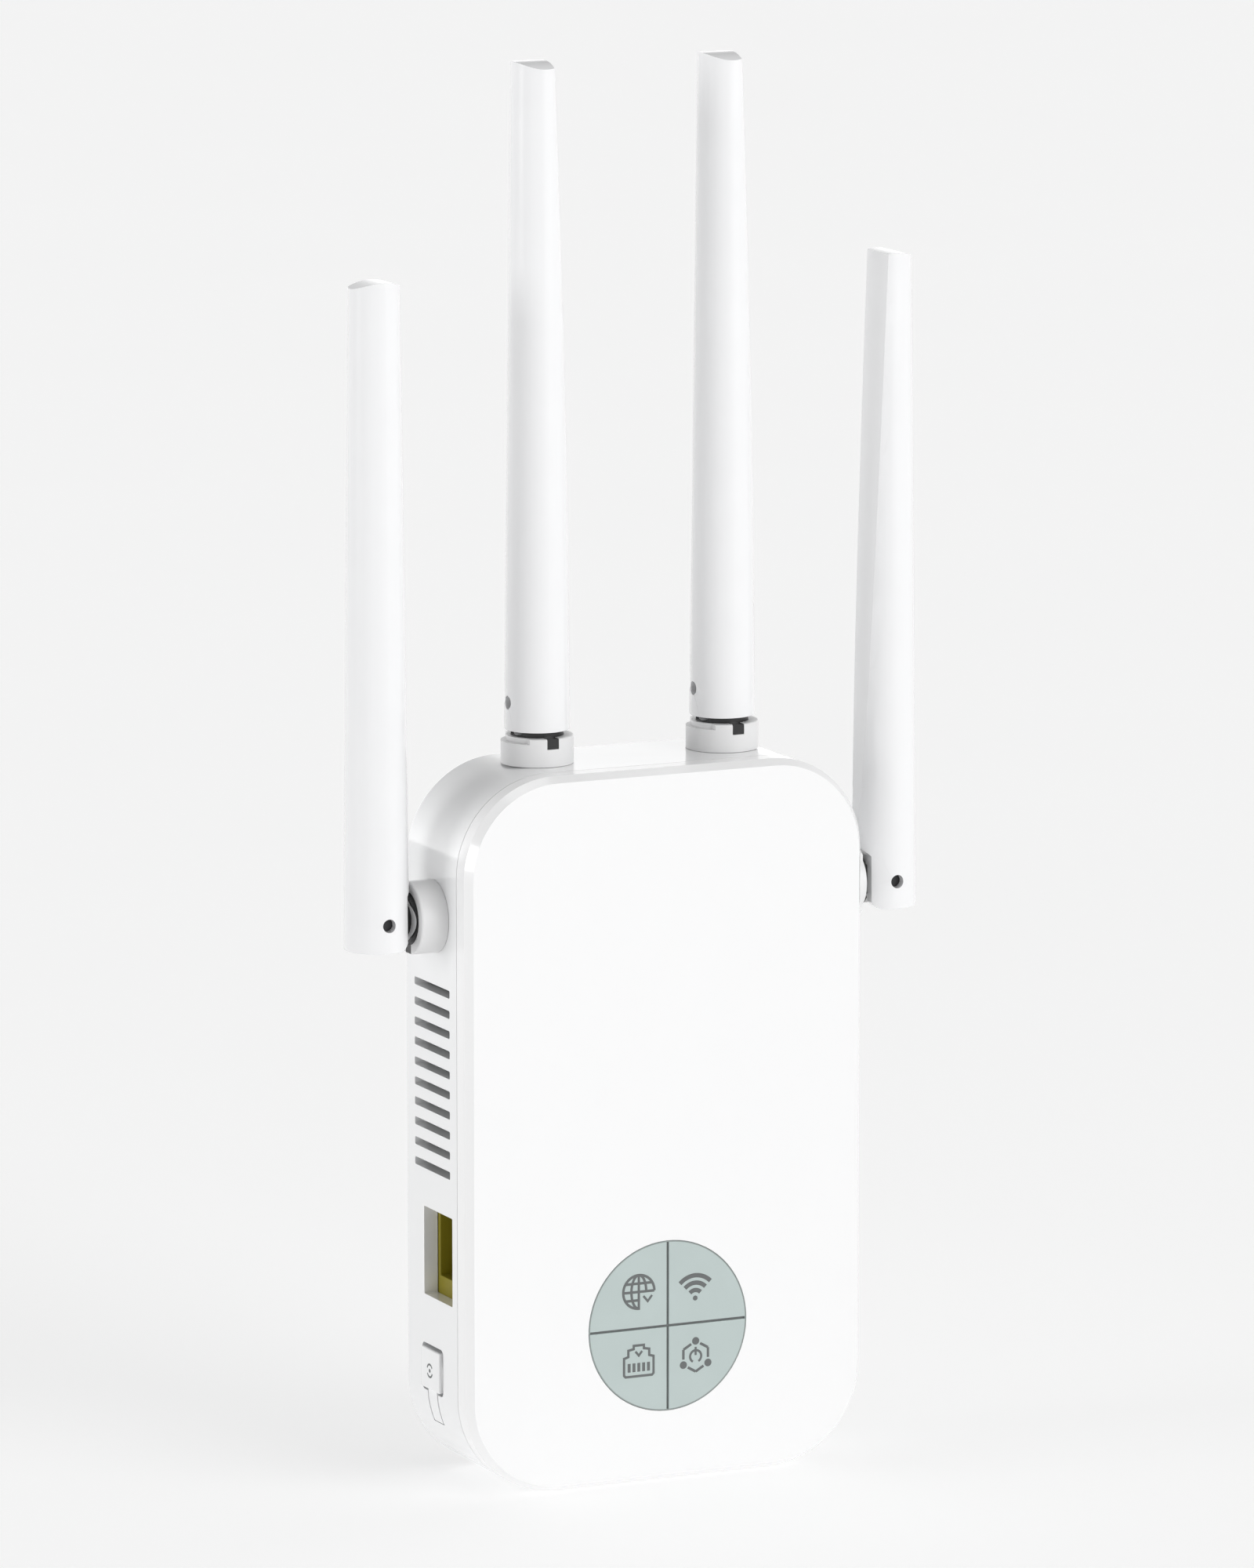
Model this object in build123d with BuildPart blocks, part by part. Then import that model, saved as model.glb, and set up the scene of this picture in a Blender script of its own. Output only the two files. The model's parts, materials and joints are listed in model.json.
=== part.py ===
from build123d import *
from math import atan, degrees
import os

os.makedirs("parts", exist_ok=True)

# Millimetres. X is right, Y points into the wall, Z is up.
# The origin is on the wall face, midway between the two plug pins.

# ---- body ----
width, height, depth = 77.5, 129.0, 27.3
corner_r = 17.5
wall = 2.6                      # side walls
back_wall = 2.5
parting_y = -22.24              # where the front cover meets the rear shell
band = 3.29                     # straight side band of the front cover
parting_line = 0.15             # the fine groove between the shell and the cover
bevel_in, bevel_deep = 1.06, 1.77
front_wall = 2.0
half_w, half_h = width / 2, height / 2
inner_w, inner_h = width - 2 * wall, height - 2 * wall
inner_r = corner_r - wall

# ---- features of the left side ----
vent_count, vent_pitch, vent_high = 10, 3.626, 1.43
vent_top_z = 26.29
vent_y0, vent_y1 = -4.0, -19.25
port_y, port_z, port_deep, port_wide = -13.99, -22.64, 12.28, 16.0
pad_y0, pad_y1, pad_z0, pad_z1 = -7.4, -15.4, -47.5, -40.1
tongue_y0, tongue_y1, tongue_z = -9.4, -13.1, -53.6
button_gap, window_gap = 0.4, 0.6

# ---- indicator ----
lens_z, lens_r, lens_thick = -36.25, 15.45, 1.6

# ---- antennas ----
top_x, top_y = 18.13, -11.4
side_y, side_z = -12.62, 38.67
collar_r, collar_high = 6.5, 5.0
seat_gap = 0.06                 # the collar turns this far off the body
spigot_r, shell_hole_r = 5.0, 5.05
pivot_out = 11.0                # from the body's surface to the hinge pin
base_r, tip_r = 5.85, 4.55
antenna_low, antenna_tip = -4.96, 113.5
swing_r = 5.75                  # the largest radius that may pass over the collar
pin_r, eye_r, eye_wide = 1.2, 3.5, 4.0
step_x = -3.8                   # the collar's rim steps in beyond this
key_wide, key_deep = 2.3, 1.85

# ---- boards ----
main_y0, main_y1 = -20.15, -21.75
power_y0, power_y1 = -4.0, -5.6
post_x, post_z = 28.0, 56.0     # cover screws
main_posts = [(28, 48), (-28, 48), (20, -49), (-20, -49)]
power_posts = [(19, 44), (-19, 44), (19, -14), (-19, -14)]

# ---- plug ----
pin_gap, plug_r = 19.0, 2.0


def save(solid, name):
    solid.label = name
    export_step(solid, f"parts/{name}.step")


def back_plane(y):
    """A plane facing the room, y mm from the wall, with X right and Z up."""
    return Plane(origin=(0, y, 0), x_dir=(1, 0, 0), z_dir=(0, -1, 0))


left_plane = Plane(origin=(-half_w, 0, 0), x_dir=(0, -1, 0), z_dir=(-1, 0, 0))
right_plane = Plane(origin=(half_w, 0, 0), x_dir=(0, 1, 0), z_dir=(1, 0, 0))

# the four collar seats: plane on the body's surface, facing out, x along the hinge pin
seats = {
    "top_left": Plane(origin=(-top_x, top_y, half_h), x_dir=(1, 0, 0), z_dir=(0, 0, 1)),
    "top_right": Plane(origin=(top_x, top_y, half_h), x_dir=(1, 0, 0), z_dir=(0, 0, 1)),
    "side_left": Plane(origin=(-half_w, side_y, side_z), x_dir=(0, -1, 0), z_dir=(-1, 0, 0)),
    "side_right": Plane(origin=(half_w, side_y, side_z), x_dir=(0, 1, 0), z_dir=(1, 0, 0)),
}
# the antennas' own planes at the pivot: x along the pin, z to the tip
aims = {name: Plane(origin=seat.offset(seat_gap + pivot_out).origin, x_dir=seat.x_dir, z_dir=(0, 0, 1))
        for name, seat in seats.items()}
# which side of the pin the visible hole is on, and where the long flat faces
hole_side = {"top_left": -1, "top_right": -1, "side_left": 1, "side_right": -1}
flat_turn = {"top_left": 0, "top_right": 0, "side_left": 180, "side_right": 90}

vent_zs = [vent_top_z - vent_high / 2 - i * vent_pitch for i in range(vent_count)]
vent_mid = -(vent_y0 + vent_y1) / 2
vent_long = vent_y0 - vent_y1

# ------------------------------------------------------------------ rear shell
with BuildPart() as rear_shell:
    with BuildSketch(back_plane(0)):
        RectangleRounded(width, height, corner_r)
    extrude(amount=-parting_y)
    fillet(rear_shell.faces().sort_by(Axis.Y)[-1].edges(), 0.8)
    with BuildSketch(back_plane(-back_wall)):
        RectangleRounded(inner_w, inner_h, inner_r)
    extrude(amount=-parting_y, mode=Mode.SUBTRACT)
    # standing posts for the two boards
    with BuildSketch(back_plane(-back_wall + 0.5)):
        with Locations(*main_posts):
            Circle(2.6)
    extrude(amount=-main_y0 - back_wall + 0.5)
    with BuildSketch(back_plane(-back_wall + 0.5)):
        with Locations(*power_posts):
            Circle(2.4)
    extrude(amount=-power_y0 - back_wall + 0.5)
    with BuildSketch(back_plane(main_y0)):
        with Locations(*main_posts):
            Circle(0.9)
    extrude(amount=-6, mode=Mode.SUBTRACT)
    with BuildSketch(back_plane(power_y0)):
        with Locations(*power_posts):
            Circle(0.9)
    extrude(amount=-3.0, mode=Mode.SUBTRACT)
    # seats of the cover screws
    with BuildSketch(back_plane(0)):
        with GridLocations(2 * post_x, 2 * post_z, 2, 2):
            Circle(2.7)
    extrude(amount=1.3, mode=Mode.SUBTRACT)
    with BuildSketch(back_plane(0)):
        with GridLocations(2 * post_x, 2 * post_z, 2, 2):
            Circle(1.5)
    extrude(amount=5, mode=Mode.SUBTRACT)
    # the plug insert's opening, with a step that holds it
    with BuildSketch(back_plane(0)):
        RectangleRounded(34.0, 15.0, 5.0)
    extrude(amount=1.2, mode=Mode.SUBTRACT)
    with BuildSketch(back_plane(0)):
        RectangleRounded(31.0, 12.0, 3.5)
    extrude(amount=5, mode=Mode.SUBTRACT)
    # vents on both sides
    for side, sign in ((left_plane, 1), (right_plane, -1)):
        with BuildSketch(side):
            with Locations(*[(sign * vent_mid, z) for z in vent_zs]):
                RectangleRounded(vent_long, vent_high, 0.35)
        extrude(amount=-wall - 1, mode=Mode.SUBTRACT)
    # network port
    with BuildSketch(left_plane):
        with Locations((-port_y, port_z)):
            RectangleRounded(port_deep, port_wide, 0.3)
    extrude(amount=-wall - 1, mode=Mode.SUBTRACT)
    # button opening: the pad's window and the tongue's slot below it
    with BuildSketch(left_plane):
        with Locations((-(pad_y0 + pad_y1) / 2, (pad_z0 + pad_z1) / 2)):
            RectangleRounded(pad_y0 - pad_y1 + 2 * window_gap, pad_z1 - pad_z0 + 2 * window_gap, 1.1)
        with Locations((-(tongue_y0 + tongue_y1) / 2, (pad_z0 + tongue_z) / 2)):
            Rectangle(tongue_y0 - tongue_y1 + 2 * button_gap, pad_z0 - tongue_z + 0.3)
    extrude(amount=-wall - 2.6, mode=Mode.SUBTRACT)
    # seats of the four antenna collars
    for seat in seats.values():
        with BuildSketch(seat):
            Circle(shell_hole_r)
        extrude(amount=-wall - 1, mode=Mode.SUBTRACT)
save(rear_shell.part, "rear_shell")

# ----------------------------------------------------------------- front cover
with BuildPart() as front_cover:
    with BuildSketch(back_plane(parting_y - parting_line)):
        RectangleRounded(width, height, corner_r)
    extrude(amount=band - parting_line)
    with BuildSketch(back_plane(parting_y - band)):
        RectangleRounded(width, height, corner_r)
    extrude(amount=bevel_deep, taper=degrees(atan(bevel_in / bevel_deep)))
    with BuildSketch(back_plane(parting_y)):
        RectangleRounded(inner_w, inner_h, inner_r)
    extrude(amount=depth + parting_y - front_wall, mode=Mode.SUBTRACT)
    # locating lip inside the rear shell
    with BuildSketch(back_plane(parting_y - 1.5)):
        RectangleRounded(inner_w + 0.4, inner_h + 0.4, inner_r + 0.2)
        RectangleRounded(inner_w - 2.2, inner_h - 2.2, inner_r - 1.1, mode=Mode.SUBTRACT)
    extrude(amount=1.5)
    with BuildSketch(back_plane(parting_y + 1.7)):
        RectangleRounded(inner_w - 0.2, inner_h - 0.2, inner_r - 0.1)
        RectangleRounded(inner_w - 2.2, inner_h - 2.2, inner_r - 1.1, mode=Mode.SUBTRACT)
    extrude(amount=3.3)
    # posts that take the cover screws
    with BuildSketch(back_plane(-back_wall)):
        with GridLocations(2 * post_x, 2 * post_z, 2, 2):
            Circle(2.9)
    extrude(amount=depth - back_wall - front_wall + 0.5)
    with BuildSketch(back_plane(-back_wall)):
        with GridLocations(2 * post_x, 2 * post_z, 2, 2):
            Circle(1.1)
    extrude(amount=10, mode=Mode.SUBTRACT)
    # the lens seat and the light well behind it
    with BuildSketch(back_plane(-depth)):
        with Locations((0, lens_z)):
            Circle(lens_r + 0.08)
    extrude(amount=-lens_thick, mode=Mode.SUBTRACT)
    with BuildSketch(back_plane(-depth)):
        with Locations((0, lens_z)):
            Circle(lens_r - 0.85)
    extrude(amount=-front_wall - 1, mode=Mode.SUBTRACT)
save(front_cover.part, "front_cover")

# -------------------------------------------------------------- indicator lens
with BuildPart() as indicator_lens:
    with BuildSketch(back_plane(-depth + lens_thick)):
        with Locations((0, lens_z)):
            Circle(lens_r)
    extrude(amount=lens_thick + 0.05)
    # the shallow cross that parts the four fields
    with BuildSketch(back_plane(-depth - 0.05)):
        with Locations((0, lens_z)):
            Rectangle(0.42, 2 * lens_r + 2)
            Rectangle(2 * lens_r + 2, 0.42)
    extrude(amount=-0.35, mode=Mode.SUBTRACT)
save(indicator_lens.part, "indicator_lens")

baffle_y = main_y1 - 0.1
with BuildPart() as light_baffle:
    with BuildSketch(back_plane(baffle_y)):
        with Locations((0, lens_z)):
            Circle(lens_r - 0.95)
            Circle(lens_r - 2.0, mode=Mode.SUBTRACT)
            Rectangle(1.0, 2 * lens_r - 2.4)
            Rectangle(2 * lens_r - 2.4, 1.0)
    extrude(amount=depth - lens_thick + baffle_y)
save(light_baffle.part, "light_baffle")

# ------------------------------------------------------------------ main board
with BuildPart() as main_board:
    with BuildSketch(back_plane(main_y0)):
        RectangleRounded(66, 104, 3)
        with Locations(*main_posts):
            Circle(1.1, mode=Mode.SUBTRACT)
    extrude(amount=main_y0 - main_y1)
save(main_board.part, "main_board")

with BuildPart() as status_leds:
    with BuildSketch(back_plane(main_y1)):
        with Locations((0, lens_z)):
            with GridLocations(13, 13, 2, 2):
                Rectangle(1.6, 0.8)
    extrude(amount=0.7)
save(status_leds.part, "status_leds")

with BuildPart() as shield_can:
    with BuildSketch(back_plane(main_y0)):
        with Locations((2, 14)):
            RectangleRounded(34, 30, 1.0)
    extrude(amount=-2.2)
    with BuildSketch(back_plane(main_y0)):
        with Locations((2, 14)):
            RectangleRounded(33.4, 29.4, 0.7)
    extrude(amount=-2.0, mode=Mode.SUBTRACT)
save(shield_can.part, "shield_can")

with BuildPart() as radio_chips:
    with BuildSketch(back_plane(main_y0)):
        with Locations((-6, 14)):
            Rectangle(11, 11)
        with Locations((10, 20), (10, 8)):
            Rectangle(7, 7)
    extrude(amount=-1.0)
save(radio_chips.part, "radio_chips")

# --------------------------------------------------------------- network jack
jack_x0 = -half_w + wall + 0.1
jack_long = 15.2
jack_y0, jack_y1 = main_y0, main_y0 + 12.3
cavity_y, cavity_z = jack_y1 - 0.9, port_z + 1.2
with BuildPart() as ethernet_jack:
    with Locations((jack_x0 + jack_long / 2, (jack_y0 + jack_y1) / 2, port_z)):
        Box(jack_long, jack_y1 - jack_y0, 17.4)
    # plug cavity, then the deeper notch for the plug's latch on the board side
    with Locations((jack_x0 + 6.3, cavity_y - 4.3, cavity_z)):
        Box(12.8, 8.6, 11.8, mode=Mode.SUBTRACT)
    with Locations((jack_x0 + 6.3, cavity_y - 8.6 - 0.9, cavity_z)):
        Box(12.8, 2.0, 6.2, mode=Mode.SUBTRACT)
save(ethernet_jack.part, "ethernet_jack")

with BuildPart() as ethernet_contacts:
    with BuildSketch(Plane(origin=(0, 0, cavity_z), x_dir=(1, 0, 0), z_dir=(0, 0, 1))):
        x1 = jack_x0 + 12.6
        y0 = cavity_y - 0.05
        with BuildLine():
            Polyline((x1, y0), (x1, y0 - 0.35), (x1 - 6.2, y0 - 1.5), (x1 - 6.5, y0 - 1.2),
                     (x1 - 0.9, y0), close=True)
        make_face()
    extrude(amount=0.2, both=True)
contact_strip = ethernet_contacts.part
with BuildPart() as ethernet_contacts:
    with Locations(*[(0, 0, (i - 3.5) * 1.27) for i in range(8)]):
        add(contact_strip)
save(ethernet_contacts.part, "ethernet_contacts")

with BuildPart() as ethernet_magnetics:
    with BuildSketch(back_plane(main_y0)):
        with Locations((-11, port_z)):
            Rectangle(12, 9)
    extrude(amount=-4.5)
save(ethernet_magnetics.part, "ethernet_magnetics")

# ------------------------------------------------------------- button and switch
switch_y, switch_z = -14.0, -44.0
switch_face = -32.6
with BuildPart() as wps_switch:
    with Locations(((switch_face - 28.4) / 2, (main_y0 - 11.6) / 2, switch_z)):
        Box(-switch_face - 28.4, -main_y0 - 11.6, 6.2)
    with BuildSketch(Plane(origin=(switch_face, switch_y, switch_z), x_dir=(0, -1, 0), z_dir=(-1, 0, 0))):
        Circle(1.05)
    extrude(amount=-2.6, mode=Mode.SUBTRACT)
save(wps_switch.part, "wps_switch")

with BuildPart() as switch_plunger:
    with BuildSketch(Plane(origin=(switch_face + 1.9, switch_y, switch_z), x_dir=(0, -1, 0), z_dir=(-1, 0, 0))):
        Circle(1.0)
    extrude(amount=3.9)
save(switch_plunger.part, "switch_plunger")

# the button is a tongue of the same curve as the shell, with a raised pad at its free end
with BuildPart() as wps_button:
    with BuildSketch(back_plane(-5)):
        RectangleRounded(width, height, corner_r)
        RectangleRounded(inner_w, inner_h, inner_r, mode=Mode.SUBTRACT)
    extrude(amount=12)
    with BuildSketch(left_plane):
        with Locations((-(tongue_y0 + tongue_y1) / 2, (pad_z0 + tongue_z) / 2 + 1)):
            Rectangle(tongue_y0 - tongue_y1, pad_z0 - tongue_z + 2)
        with Locations((-(pad_y0 + pad_y1) / 2, (pad_z0 + pad_z1) / 2)):
            RectangleRounded(pad_y0 - pad_y1, pad_z1 - pad_z0, 0.5)
    extrude(amount=-8, mode=Mode.INTERSECT)
    with BuildSketch(left_plane):
        with Locations((-(pad_y0 + pad_y1) / 2, (pad_z0 + pad_z1) / 2)):
            RectangleRounded(pad_y0 - pad_y1, pad_z1 - pad_z0, 0.5)
    extrude(amount=0.6)
    fillet(wps_button.faces().sort_by(Axis.X)[0].edges(), 0.35)
    # the post that reaches the switch's plunger
    with BuildSketch(Plane(origin=(-half_w + wall - 0.3, switch_y, switch_z), x_dir=(0, 1, 0), z_dir=(1, 0, 0))):
        Circle(1.1)
    extrude(amount=switch_face - 2.05 + half_w - wall + 0.3)
save(wps_button.part, "wps_button")

# ----------------------------------------------------------------- power board
with BuildPart() as power_board:
    with BuildSketch(back_plane(power_y0)):
        with Locations((0, 15)):
            RectangleRounded(46, 66, 1.5)
        with Locations(*power_posts):
            Circle(1.1, mode=Mode.SUBTRACT)
        with Locations((-pin_gap / 2, 0), (pin_gap / 2, 0)):
            Circle(1.05, mode=Mode.SUBTRACT)
    extrude(amount=power_y0 - power_y1)
save(power_board.part, "power_board")

with BuildPart() as power_transformer:
    with BuildSketch(back_plane(power_y1)):
        with Locations((8, 33)):
            RectangleRounded(15, 17, 1)
    extrude(amount=11.5)
    with BuildSketch(back_plane(power_y1 - 3)):
        with Locations((8, 33)):
            Rectangle(17.5, 8)
    extrude(amount=5.5)
save(power_transformer.part, "power_transformer")

with BuildPart() as bulk_capacitors:
    with BuildSketch(back_plane(power_y1)):
        with Locations((-13, 38), (-13, 27)):
            Circle(4.0)
        with Locations((-13, -9)):
            Circle(3.1)
    extrude(amount=11)
    fillet(bulk_capacitors.faces().filter_by(Axis.Y).edges().filter_by(GeomType.CIRCLE), 0.5)
save(bulk_capacitors.part, "bulk_capacitors")

with BuildPart() as power_parts:
    # fuse, bridge rectifier and the small output diodes
    with BuildSketch(back_plane(power_y1)):
        with Locations((0, -10)):
            Rectangle(9, 4)
        with Locations((-5, 15)):
            Rectangle(7, 6)
        with Locations((14, 17), (14, 12)):
            Rectangle(5, 2.6)
    extrude(amount=2.8)
save(power_parts.part, "power_parts")

with BuildPart() as board_header:
    # six pins that join the two boards, in their plastic strips
    with BuildSketch(back_plane(power_y1)):
        with Locations((20, 0)):
            Rectangle(2.5, 15.3)
    extrude(amount=2.5)
    with BuildSketch(back_plane(power_y1 - 2)):
        with Locations((20, 0)):
            with GridLocations(1, 2.54, 1, 6):
                Rectangle(0.64, 0.64)
    extrude(amount=power_y1 - main_y0 - 2)
save(board_header.part, "board_header")

# ------------------------------------------------------------------------ plug
with BuildPart() as plug_base:
    with BuildSketch(back_plane(-0.05)):
        RectangleRounded(33.8, 14.8, 4.9)
    extrude(amount=1.15)
    with BuildSketch(back_plane(-1.0)):
        RectangleRounded(30.8, 11.8, 3.4)
    extrude(amount=-power_y0 - 1.0)
    with BuildSketch(back_plane(0)):
        with Locations((-pin_gap / 2, 0), (pin_gap / 2, 0)):
            Circle(1.6)
    extrude(amount=6, mode=Mode.SUBTRACT)
save(plug_base.part, "plug_base")

pin_long, sleeve_long = 19.0, 10.0
for name, x in (("plug_pin_left", -pin_gap / 2), ("plug_pin_right", pin_gap / 2)):
    with BuildPart() as plug_pin:
        with BuildSketch(back_plane(sleeve_long)):
            with Locations((x, 0)):
                Circle(plug_r)
        extrude(amount=-(pin_long - sleeve_long))
        fillet(plug_pin.faces().sort_by(Axis.Y)[-1].edges(), 1.2)
        with BuildSketch(back_plane(sleeve_long)):
            with Locations((x, 0)):
                Circle(1.6)
        extrude(amount=sleeve_long - power_y0)
        with BuildSketch(back_plane(power_y0)):
            with Locations((x, 0)):
                Circle(1.0)
        extrude(amount=2.4)
    save(plug_pin.part, name)

with BuildPart() as pin_sleeves:
    with BuildSketch(back_plane(sleeve_long)):
        with Locations((-pin_gap / 2, 0), (pin_gap / 2, 0)):
            Circle(plug_r)
            Circle(1.6, mode=Mode.SUBTRACT)
    extrude(amount=sleeve_long + 0.05)
save(pin_sleeves.part, "pin_sleeves")

# ---------------------------------------------------------------------- screws
with BuildPart() as cover_screws:
    with BuildSketch(back_plane(-0.1)):
        with GridLocations(2 * post_x, 2 * post_z, 2, 2):
            Circle(2.4)
    extrude(amount=1.2)
    with BuildSketch(back_plane(-0.1)):
        with GridLocations(2 * post_x, 2 * post_z, 2, 2):
            Rectangle(2.6, 0.6)
            Rectangle(0.6, 2.6)
    extrude(amount=0.7, mode=Mode.SUBTRACT)
    with BuildSketch(back_plane(-1.3)):
        with GridLocations(2 * post_x, 2 * post_z, 2, 2):
            Circle(1.1)
    extrude(amount=8)
save(cover_screws.part, "cover_screws")

with BuildPart() as board_screws:
    for spots, y in ((main_posts, main_y1), (power_posts, power_y1)):
        with BuildSketch(back_plane(y)):
            with Locations(*spots):
                Circle(1.7)
        extrude(amount=1.0)
        with BuildSketch(back_plane(y)):
            with Locations(*spots):
                Circle(0.9)
        extrude(amount=-4.2)
save(board_screws.part, "board_screws")

# ------------------------------------------------------------------ coax leads
plug_spots = {
    "top_left": (-12.0, 48.0),
    "top_right": (12.0, 48.0),
    "side_left": (-24.0, 30.0),
    "side_right": (26.0, 30.0),
}
with BuildPart() as coax_connectors:
    with BuildSketch(back_plane(main_y0)):
        with Locations(*plug_spots.values()):
            Circle(1.3)
    extrude(amount=-1.4)
save(coax_connectors.part, "coax_connectors")

for name, seat in seats.items():
    px, pz = plug_spots[name]
    inside = seat.from_local_coords((0, 0, -7.0))
    end = seat.from_local_coords((0, 0, -2.0))
    out = seat.z_dir
    with BuildPart() as coax_lead:
        with BuildLine() as path:
            Spline((px, main_y0 + 1.4, pz), inside, end,
                   tangents=((0, 1, 0), (out.X, out.Y, out.Z)))
        with BuildSketch(Plane(origin=(px, main_y0 + 1.4, pz), x_dir=(1, 0, 0), z_dir=(0, 1, 0))):
            Circle(0.45)
        sweep(path=path.wires()[0])
    save(coax_lead.part, f"coax_lead_{name}")

# -------------------------------------------------------------------- antennas
for name, seat in seats.items():
    # collar: turns in the shell's hole and carries the black knuckle
    with BuildPart() as collar:
        with BuildSketch():
            Circle(collar_r)
        extrude(amount=collar_high)
        fillet(collar.faces().sort_by(Axis.Z)[-1].edges(), 0.3)
        # the rim steps in on one side, and is notched on the next for the knuckle's key
        with BuildSketch(Plane.XY.offset(collar_high)):
            Circle(collar_r + 1)
            Circle(collar_r - 1.0, mode=Mode.SUBTRACT)
            with Locations((step_x + 10, 0)):
                Rectangle(20, 20, mode=Mode.SUBTRACT)
        extrude(amount=-0.95, mode=Mode.SUBTRACT)
        with Locations((0.2, -collar_r, collar_high)):
            Box(key_wide, 5.0, 2 * key_deep, mode=Mode.SUBTRACT)
        with BuildSketch(Plane.XY.offset(0.0)):
            Circle(spigot_r)
        extrude(amount=-wall - 1.6)
        with BuildSketch(Plane.XY.offset(collar_high)):
            Circle(4.75)
        extrude(amount=-2.0, mode=Mode.SUBTRACT)
        with BuildSketch(Plane.XY.offset(collar_high)):
            Circle(3.6)
        extrude(amount=-collar_high - wall - 3, mode=Mode.SUBTRACT)
        # groove for the clip
        with BuildSketch(Plane.XY.offset(-wall - 0.4)):
            Circle(spigot_r + 1)
            Circle(spigot_r - 0.4, mode=Mode.SUBTRACT)
        extrude(amount=-0.9, mode=Mode.SUBTRACT)
    lift = seat.offset(seat_gap)
    save(collar.part.moved(lift.location), f"collar_{name}")

    with BuildPart() as clip:
        with BuildSketch(Plane.XY.offset(-wall - 0.45)):
            Circle(5.8)
            Circle(spigot_r - 0.38, mode=Mode.SUBTRACT)
            with Locations((0, -5)):
                Rectangle(5.5, 6, mode=Mode.SUBTRACT)
        extrude(amount=-0.8)
    save(clip.part.moved(lift.location), f"collar_clip_{name}")

    # knuckle: a plug in the collar, a saddle under the antenna, and the eye for the pin
    with BuildPart() as knuckle:
        with BuildSketch(Plane.XY.offset(-wall - 1.6)):
            Circle(3.6)
        extrude(amount=wall + 1.6 + 4.0)
        with BuildSketch(Plane.XY.offset(collar_high - 2.0)):
            Circle(4.7)
        extrude(amount=2.85)
        with BuildSketch(Plane.YZ.offset(-8)):
            with Locations((0, pivot_out)):
                Circle(swing_r + 0.12)
        extrude(amount=16, mode=Mode.SUBTRACT)
        with BuildSketch(Plane.YZ.offset(-eye_wide / 2)):
            with Locations((0, pivot_out)):
                Circle(eye_r)
            with Locations((0, (pivot_out + 4.5) / 2)):
                Rectangle(5.0, pivot_out - 4.5)
        extrude(amount=eye_wide)
        with BuildSketch(Plane.YZ.offset(-8)):
            with Locations((0, pivot_out)):
                Circle(pin_r + 0.05)
        extrude(amount=16, mode=Mode.SUBTRACT)
        # the key that fills the collar's notch
        with Locations((0.2, -5.2, collar_high - key_deep / 2)):
            Box(key_wide - 0.04, 2.1, key_deep - 0.04)
        # the way through for the lead
        with BuildSketch(Plane.XY.offset(-wall - 3)):
            Circle(0.9)
        extrude(amount=wall + 3 + pivot_out - 1.8, mode=Mode.SUBTRACT)
    save(knuckle.part.moved(lift.location), f"knuckle_{name}")

    aim = aims[name]
    side, turn = hole_side[name], flat_turn[name]
    taper_per_mm = (base_r - tip_r) / antenna_tip

    def cone(shrink, low, high):
        """The round taper, smaller by shrink all round, between two heights."""
        with BuildPart() as blank:
            with BuildSketch(Plane.XY.offset(low)):
                Circle(base_r - taper_per_mm * max(low, 0) - shrink)
            with BuildSketch(Plane.XY.offset(high)):
                Circle(base_r - taper_per_mm * high - shrink)
            loft()
        return blank.part

    def flat_cutter(shrink):
        """The long slanting flat: everything outside it, from the base to past the tip."""
        with BuildPart() as cutter:
            with BuildSketch(Plane.XZ):
                with BuildLine():
                    Polyline((5.95 - shrink, 0), (1.65 - shrink, antenna_tip), (1.5 - shrink, antenna_tip + 5),
                             (12, antenna_tip + 5), (12, 0), close=True)
                make_face()
            extrude(amount=10, both=True)
        return cutter.part.rotate(Axis.Z, turn)

    with BuildPart() as antenna:
        add(cone(0, antenna_low, antenna_tip + 1))
        add(flat_cutter(0), mode=Mode.SUBTRACT)
        # arched tip
        with BuildSketch(Plane.YZ.offset(-10)):
            with Locations((0, antenna_tip + 2)):
                Rectangle(20, 8)
            with Locations((0, antenna_tip - 9.0)):
                Circle(9.0, mode=Mode.SUBTRACT)
        extrude(amount=20, mode=Mode.SUBTRACT)
        # the cut that clears the collar, with its sloping top
        with BuildSketch(Plane.YZ.offset(-10)):
            with BuildLine():
                Polyline((4.3, -8), (4.3, 4.6), (8.3, 8.6), (12, 8.6), (12, -8), close=True)
            make_face()
        extrude(amount=20, mode=Mode.SUBTRACT)
        # the heel is rounded about the pin
        with BuildSketch(Plane.YZ.offset(-10)):
            with Locations((5, -5)):
                Rectangle(10, 10)
            Circle(swing_r, mode=Mode.SUBTRACT)
        extrude(amount=20, mode=Mode.SUBTRACT)
        # slot for the knuckle's eye
        with BuildSketch(Plane.YZ.offset(-eye_wide / 2 - 0.1)):
            Circle(eye_r + 0.25)
            with Locations((2.6, -2.6)):
                Rectangle(10.8, 10.8)
        extrude(amount=eye_wide + 0.2, mode=Mode.SUBTRACT)
        # hollow for the radiator, and the lead's way into it
        with BuildSketch():
            Circle(0.8)
        extrude(amount=9, mode=Mode.SUBTRACT)
        # pin hole, open on one side only
        with BuildSketch(Plane.YZ):
            Circle(pin_r)
        extrude(amount=side * 10, mode=Mode.SUBTRACT)
        with BuildSketch(Plane.YZ):
            Circle(pin_r)
        extrude(amount=-side * 4.4, mode=Mode.SUBTRACT)
    with BuildPart() as hollow:
        add(cone(1.5, 8, antenna_tip - 5))
        add(flat_cutter(1.5), mode=Mode.SUBTRACT)
    with BuildPart() as shell:
        add(antenna.part)
        add(hollow.part, mode=Mode.SUBTRACT)
    save(shell.part.moved(aim.location), f"antenna_{name}")

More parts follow.
